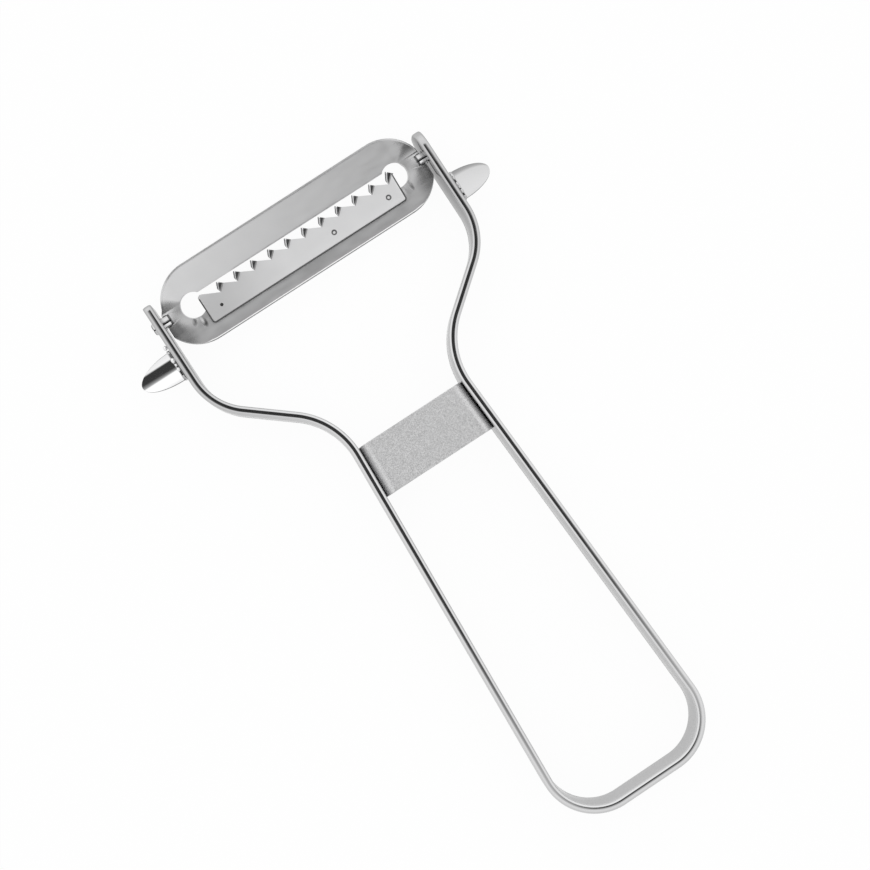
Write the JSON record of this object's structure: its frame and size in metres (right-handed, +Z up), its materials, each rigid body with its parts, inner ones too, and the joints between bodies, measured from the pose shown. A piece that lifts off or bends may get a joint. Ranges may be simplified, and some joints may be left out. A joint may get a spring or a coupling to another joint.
{
  "type": "julienne peeler",
  "caption": "Y-shaped steel julienne peeler: bent band handle with crossbar, free-swivelling toothed blade head between the arms, and pressed eye-remover scoops outside the arms.",
  "frame": {"origin": "under the middle of the whole peeler, on the table it lies on", "axes": "+Y along the handle towards the head, +Z up from the table to the side that meets the food, +X along the head's pivot line"},
  "size_m": [0.083, 0.1398, 0.01],
  "materials": {
    "polished_band": "tumble polished",
    "blasted_sheet": "bead blasted",
    "satin_sheet": "satin",
    "blade_steel": "fine satin",
    "mirror_sheet": "mirror polished"
  },
  "bodies": {
    "frame": {"handle_band": "polished_band", "crossbar": "blasted_sheet", "left_eye_remover": "mirror_sheet", "right_eye_remover": "mirror_sheet"},
    "head": {"blade_holder": "satin_sheet", "julienne_blade": "blade_steel"}
  },
  "joints": [
    {"name": "head_swivel", "type": "hinge", "parent": "frame", "child": "head", "pos_m": [0, 0.06139, 0.005], "axis": [1, 0, 0], "continuous": true}
  ]
}
